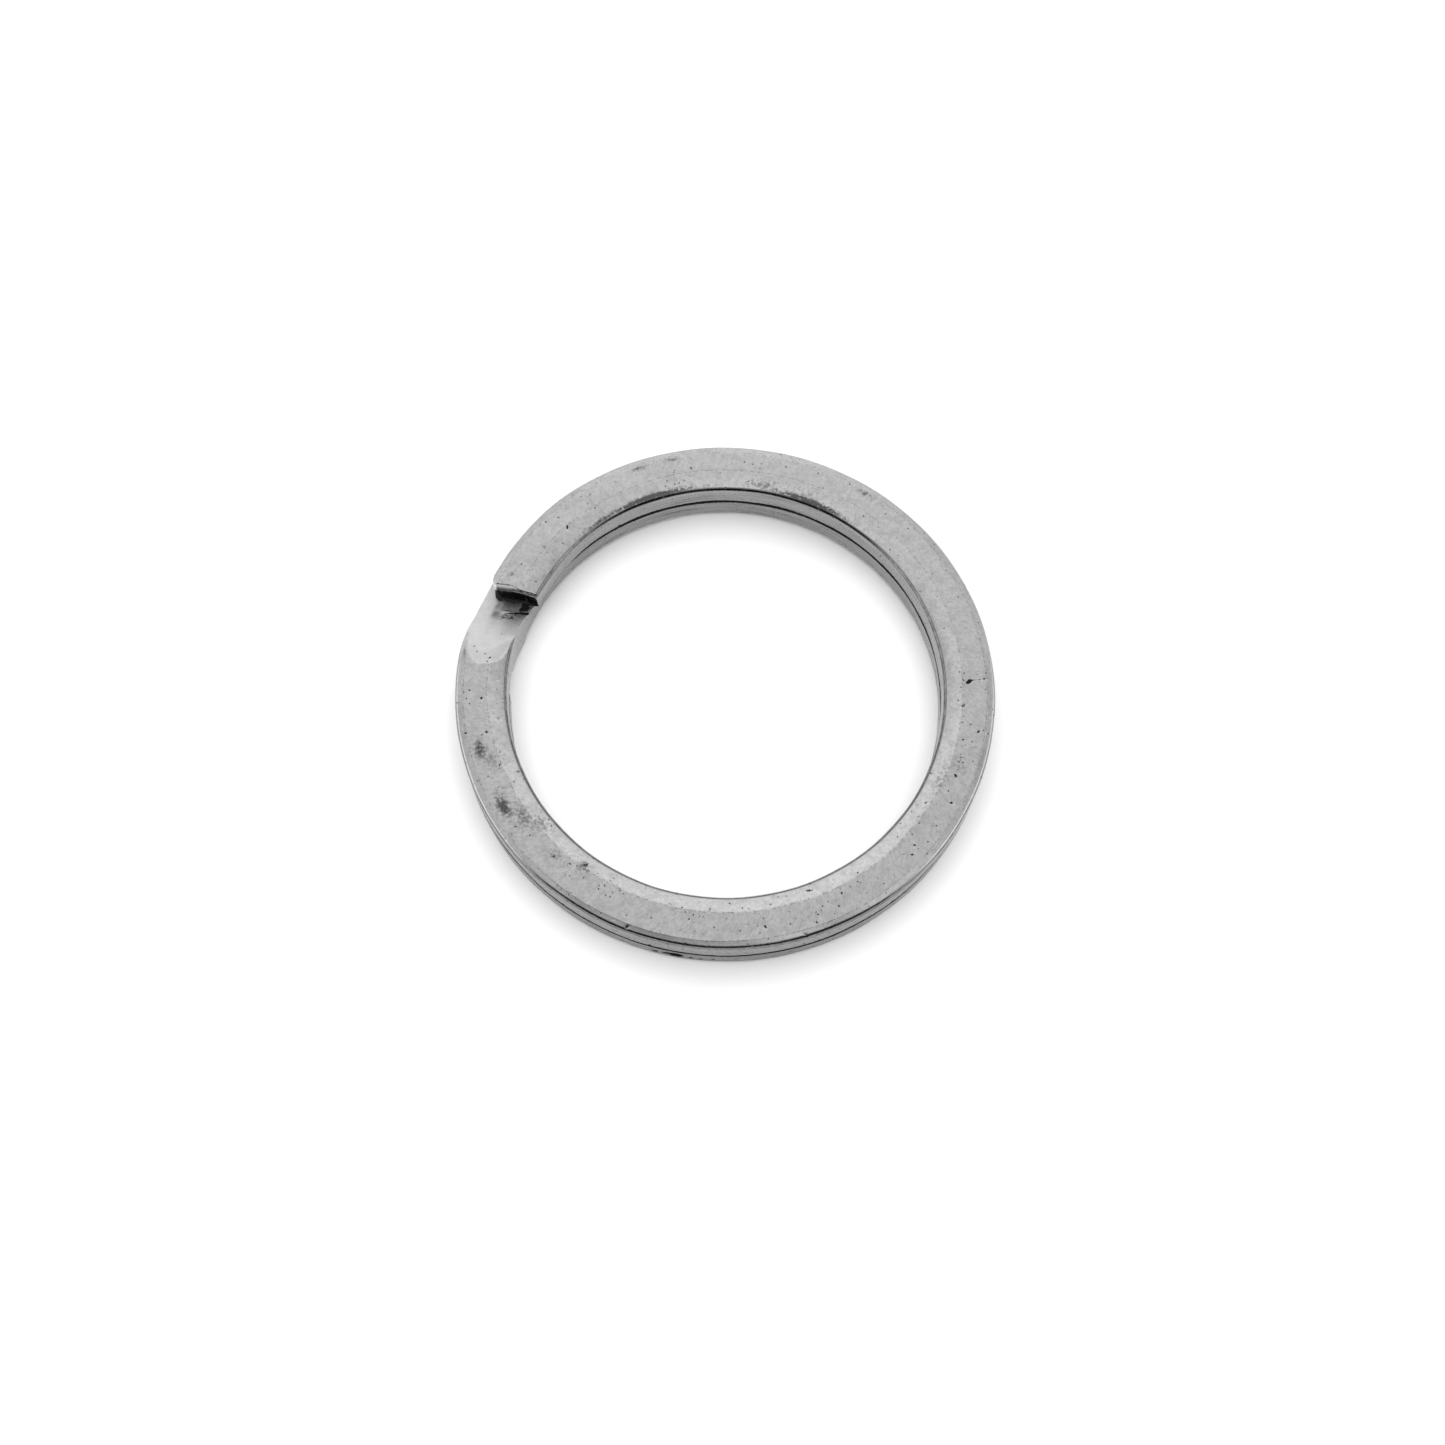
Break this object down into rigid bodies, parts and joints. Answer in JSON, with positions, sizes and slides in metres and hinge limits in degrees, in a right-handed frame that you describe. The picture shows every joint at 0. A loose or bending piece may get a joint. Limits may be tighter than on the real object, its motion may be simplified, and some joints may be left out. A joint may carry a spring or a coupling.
{
  "type": "split key ring",
  "caption": "Split key ring: flat spring wire coiled on itself, cranked where it climbs from turn to turn, that opens at its tips to take keys.",
  "frame": {"origin": "centre of the ring at mid height, where the two closed turns meet", "axes": "+Z along the ring's axis; +X from the centre to the crank; the wire climbs counter-clockwise about +Z"},
  "size_m": [0.025, 0.025, 0.0028],
  "materials": {
    "spring_steel": "worn bare steel, ground flats, fine pits and scratches"
  },
  "bodies": {
    "crank": {"crank": "spring_steel"},
    "upper_1": {"upper_1": "spring_steel"},
    "upper_2": {"upper_2": "spring_steel"},
    "upper_3": {"upper_3": "spring_steel"},
    "upper_4": {"upper_4": "spring_steel"},
    "upper_5": {"upper_5": "spring_steel"},
    "upper_6": {"upper_6": "spring_steel"},
    "upper_7": {"upper_7": "spring_steel"},
    "upper_tip": {"upper_tip": "spring_steel"},
    "lower_1": {"lower_1": "spring_steel"},
    "lower_2": {"lower_2": "spring_steel"},
    "lower_3": {"lower_3": "spring_steel"},
    "lower_4": {"lower_4": "spring_steel"},
    "lower_5": {"lower_5": "spring_steel"},
    "lower_6": {"lower_6": "spring_steel"},
    "lower_7": {"lower_7": "spring_steel"},
    "lower_tip": {"lower_tip": "spring_steel"}
  },
  "joints": [
    {"name": "upper_twist_1", "type": "hinge", "parent": "crank", "child": "upper_1", "pos_m": [0.00979, 0.00565, 0.00072], "axis": [-0.5, 0.866, 0], "range_deg": [0, 0.272], "stiffness_Nm_per_rad": 0.01},
    {"name": "upper_twist_2", "type": "hinge", "parent": "upper_1", "child": "upper_2", "pos_m": [0.00385, 0.01062, 0.00072], "axis": [-0.9401, 0.341, 0], "range_deg": [0, 0.972], "stiffness_Nm_per_rad": 0.01},
    {"name": "upper_twist_3", "type": "hinge", "parent": "upper_2", "child": "upper_3", "pos_m": [-0.00389, 0.01061, 0.00072], "axis": [-0.9389, -0.3441, 0], "range_deg": [0, 1.77], "stiffness_Nm_per_rad": 0.01},
    {"name": "upper_twist_4", "type": "hinge", "parent": "upper_3", "child": "upper_4", "pos_m": [-0.0098, 0.00562, 0.00072], "axis": [-0.4972, -0.8677, 0], "range_deg": [0, 2.3], "stiffness_Nm_per_rad": 0.01},
    {"name": "upper_twist_5", "type": "hinge", "parent": "upper_4", "child": "upper_5", "pos_m": [-0.01112, -0.00201, 0.00072], "axis": [0.1779, -0.984, 0], "range_deg": [0, 2.3], "stiffness_Nm_per_rad": 0.01},
    {"name": "upper_twist_6", "type": "hinge", "parent": "upper_5", "child": "upper_6", "pos_m": [-0.00722, -0.0087, 0.00072], "axis": [0.7695, -0.6386, 0], "range_deg": [0, 1.78], "stiffness_Nm_per_rad": 0.01},
    {"name": "upper_twist_7", "type": "hinge", "parent": "upper_6", "child": "upper_7", "pos_m": [0.00007, -0.0113, 0.00072], "axis": [1, 0.0065, 0], "range_deg": [0, 0.984], "stiffness_Nm_per_rad": 0.01},
    {"name": "upper_twist_8", "type": "hinge", "parent": "upper_7", "child": "upper_tip", "pos_m": [0.00733, -0.0086, 0.00072], "axis": [0.7611, 0.6486, 0], "range_deg": [0, 0.279], "stiffness_Nm_per_rad": 0.01},
    {"name": "lower_twist_1", "type": "hinge", "parent": "crank", "child": "lower_1", "pos_m": [0.00979, -0.00565, -0.00072], "axis": [-0.5, -0.866, 0], "range_deg": [0, 0.272], "stiffness_Nm_per_rad": 0.01},
    {"name": "lower_twist_2", "type": "hinge", "parent": "lower_1", "child": "lower_2", "pos_m": [0.00385, -0.01062, -0.00072], "axis": [-0.9401, -0.341, 0], "range_deg": [0, 0.972], "stiffness_Nm_per_rad": 0.01},
    {"name": "lower_twist_3", "type": "hinge", "parent": "lower_2", "child": "lower_3", "pos_m": [-0.00389, -0.01061, -0.00072], "axis": [-0.9389, 0.3441, 0], "range_deg": [0, 1.77], "stiffness_Nm_per_rad": 0.01},
    {"name": "lower_twist_4", "type": "hinge", "parent": "lower_3", "child": "lower_4", "pos_m": [-0.0098, -0.00562, -0.00072], "axis": [-0.4972, 0.8677, 0], "range_deg": [0, 2.3], "stiffness_Nm_per_rad": 0.01},
    {"name": "lower_twist_5", "type": "hinge", "parent": "lower_4", "child": "lower_5", "pos_m": [-0.01112, 0.00201, -0.00072], "axis": [0.1779, 0.984, 0], "range_deg": [0, 2.3], "stiffness_Nm_per_rad": 0.01},
    {"name": "lower_twist_6", "type": "hinge", "parent": "lower_5", "child": "lower_6", "pos_m": [-0.00722, 0.0087, -0.00072], "axis": [0.7695, 0.6386, 0], "range_deg": [0, 1.78], "stiffness_Nm_per_rad": 0.01},
    {"name": "lower_twist_7", "type": "hinge", "parent": "lower_6", "child": "lower_7", "pos_m": [0.00007, 0.0113, -0.00072], "axis": [1, -0.0065, 0], "range_deg": [0, 0.984], "stiffness_Nm_per_rad": 0.01},
    {"name": "lower_twist_8", "type": "hinge", "parent": "lower_7", "child": "lower_tip", "pos_m": [0.00733, 0.0086, -0.00072], "axis": [0.7611, -0.6486, 0], "range_deg": [0, 0.279], "stiffness_Nm_per_rad": 0.01}
  ],
  "couplings": [
    {"joint": "upper_twist_1", "follows": "upper_twist_4", "ratio": 0.11785},
    {"joint": "upper_twist_2", "follows": "upper_twist_4", "ratio": 0.42256},
    {"joint": "upper_twist_3", "follows": "upper_twist_4", "ratio": 0.77114},
    {"joint": "upper_twist_5", "follows": "upper_twist_4", "ratio": 1.0017},
    {"joint": "upper_twist_6", "follows": "upper_twist_4", "ratio": 0.77553},
    {"joint": "upper_twist_7", "follows": "upper_twist_4", "ratio": 0.42754},
    {"joint": "upper_twist_8", "follows": "upper_twist_4", "ratio": 0.12109},
    {"joint": "lower_twist_1", "follows": "lower_twist_4", "ratio": 0.11785},
    {"joint": "lower_twist_2", "follows": "lower_twist_4", "ratio": 0.42256},
    {"joint": "lower_twist_3", "follows": "lower_twist_4", "ratio": 0.77114},
    {"joint": "lower_twist_5", "follows": "lower_twist_4", "ratio": 1.0017},
    {"joint": "lower_twist_6", "follows": "lower_twist_4", "ratio": 0.77553},
    {"joint": "lower_twist_7", "follows": "lower_twist_4", "ratio": 0.42754},
    {"joint": "lower_twist_8", "follows": "lower_twist_4", "ratio": 0.12109}
  ]
}
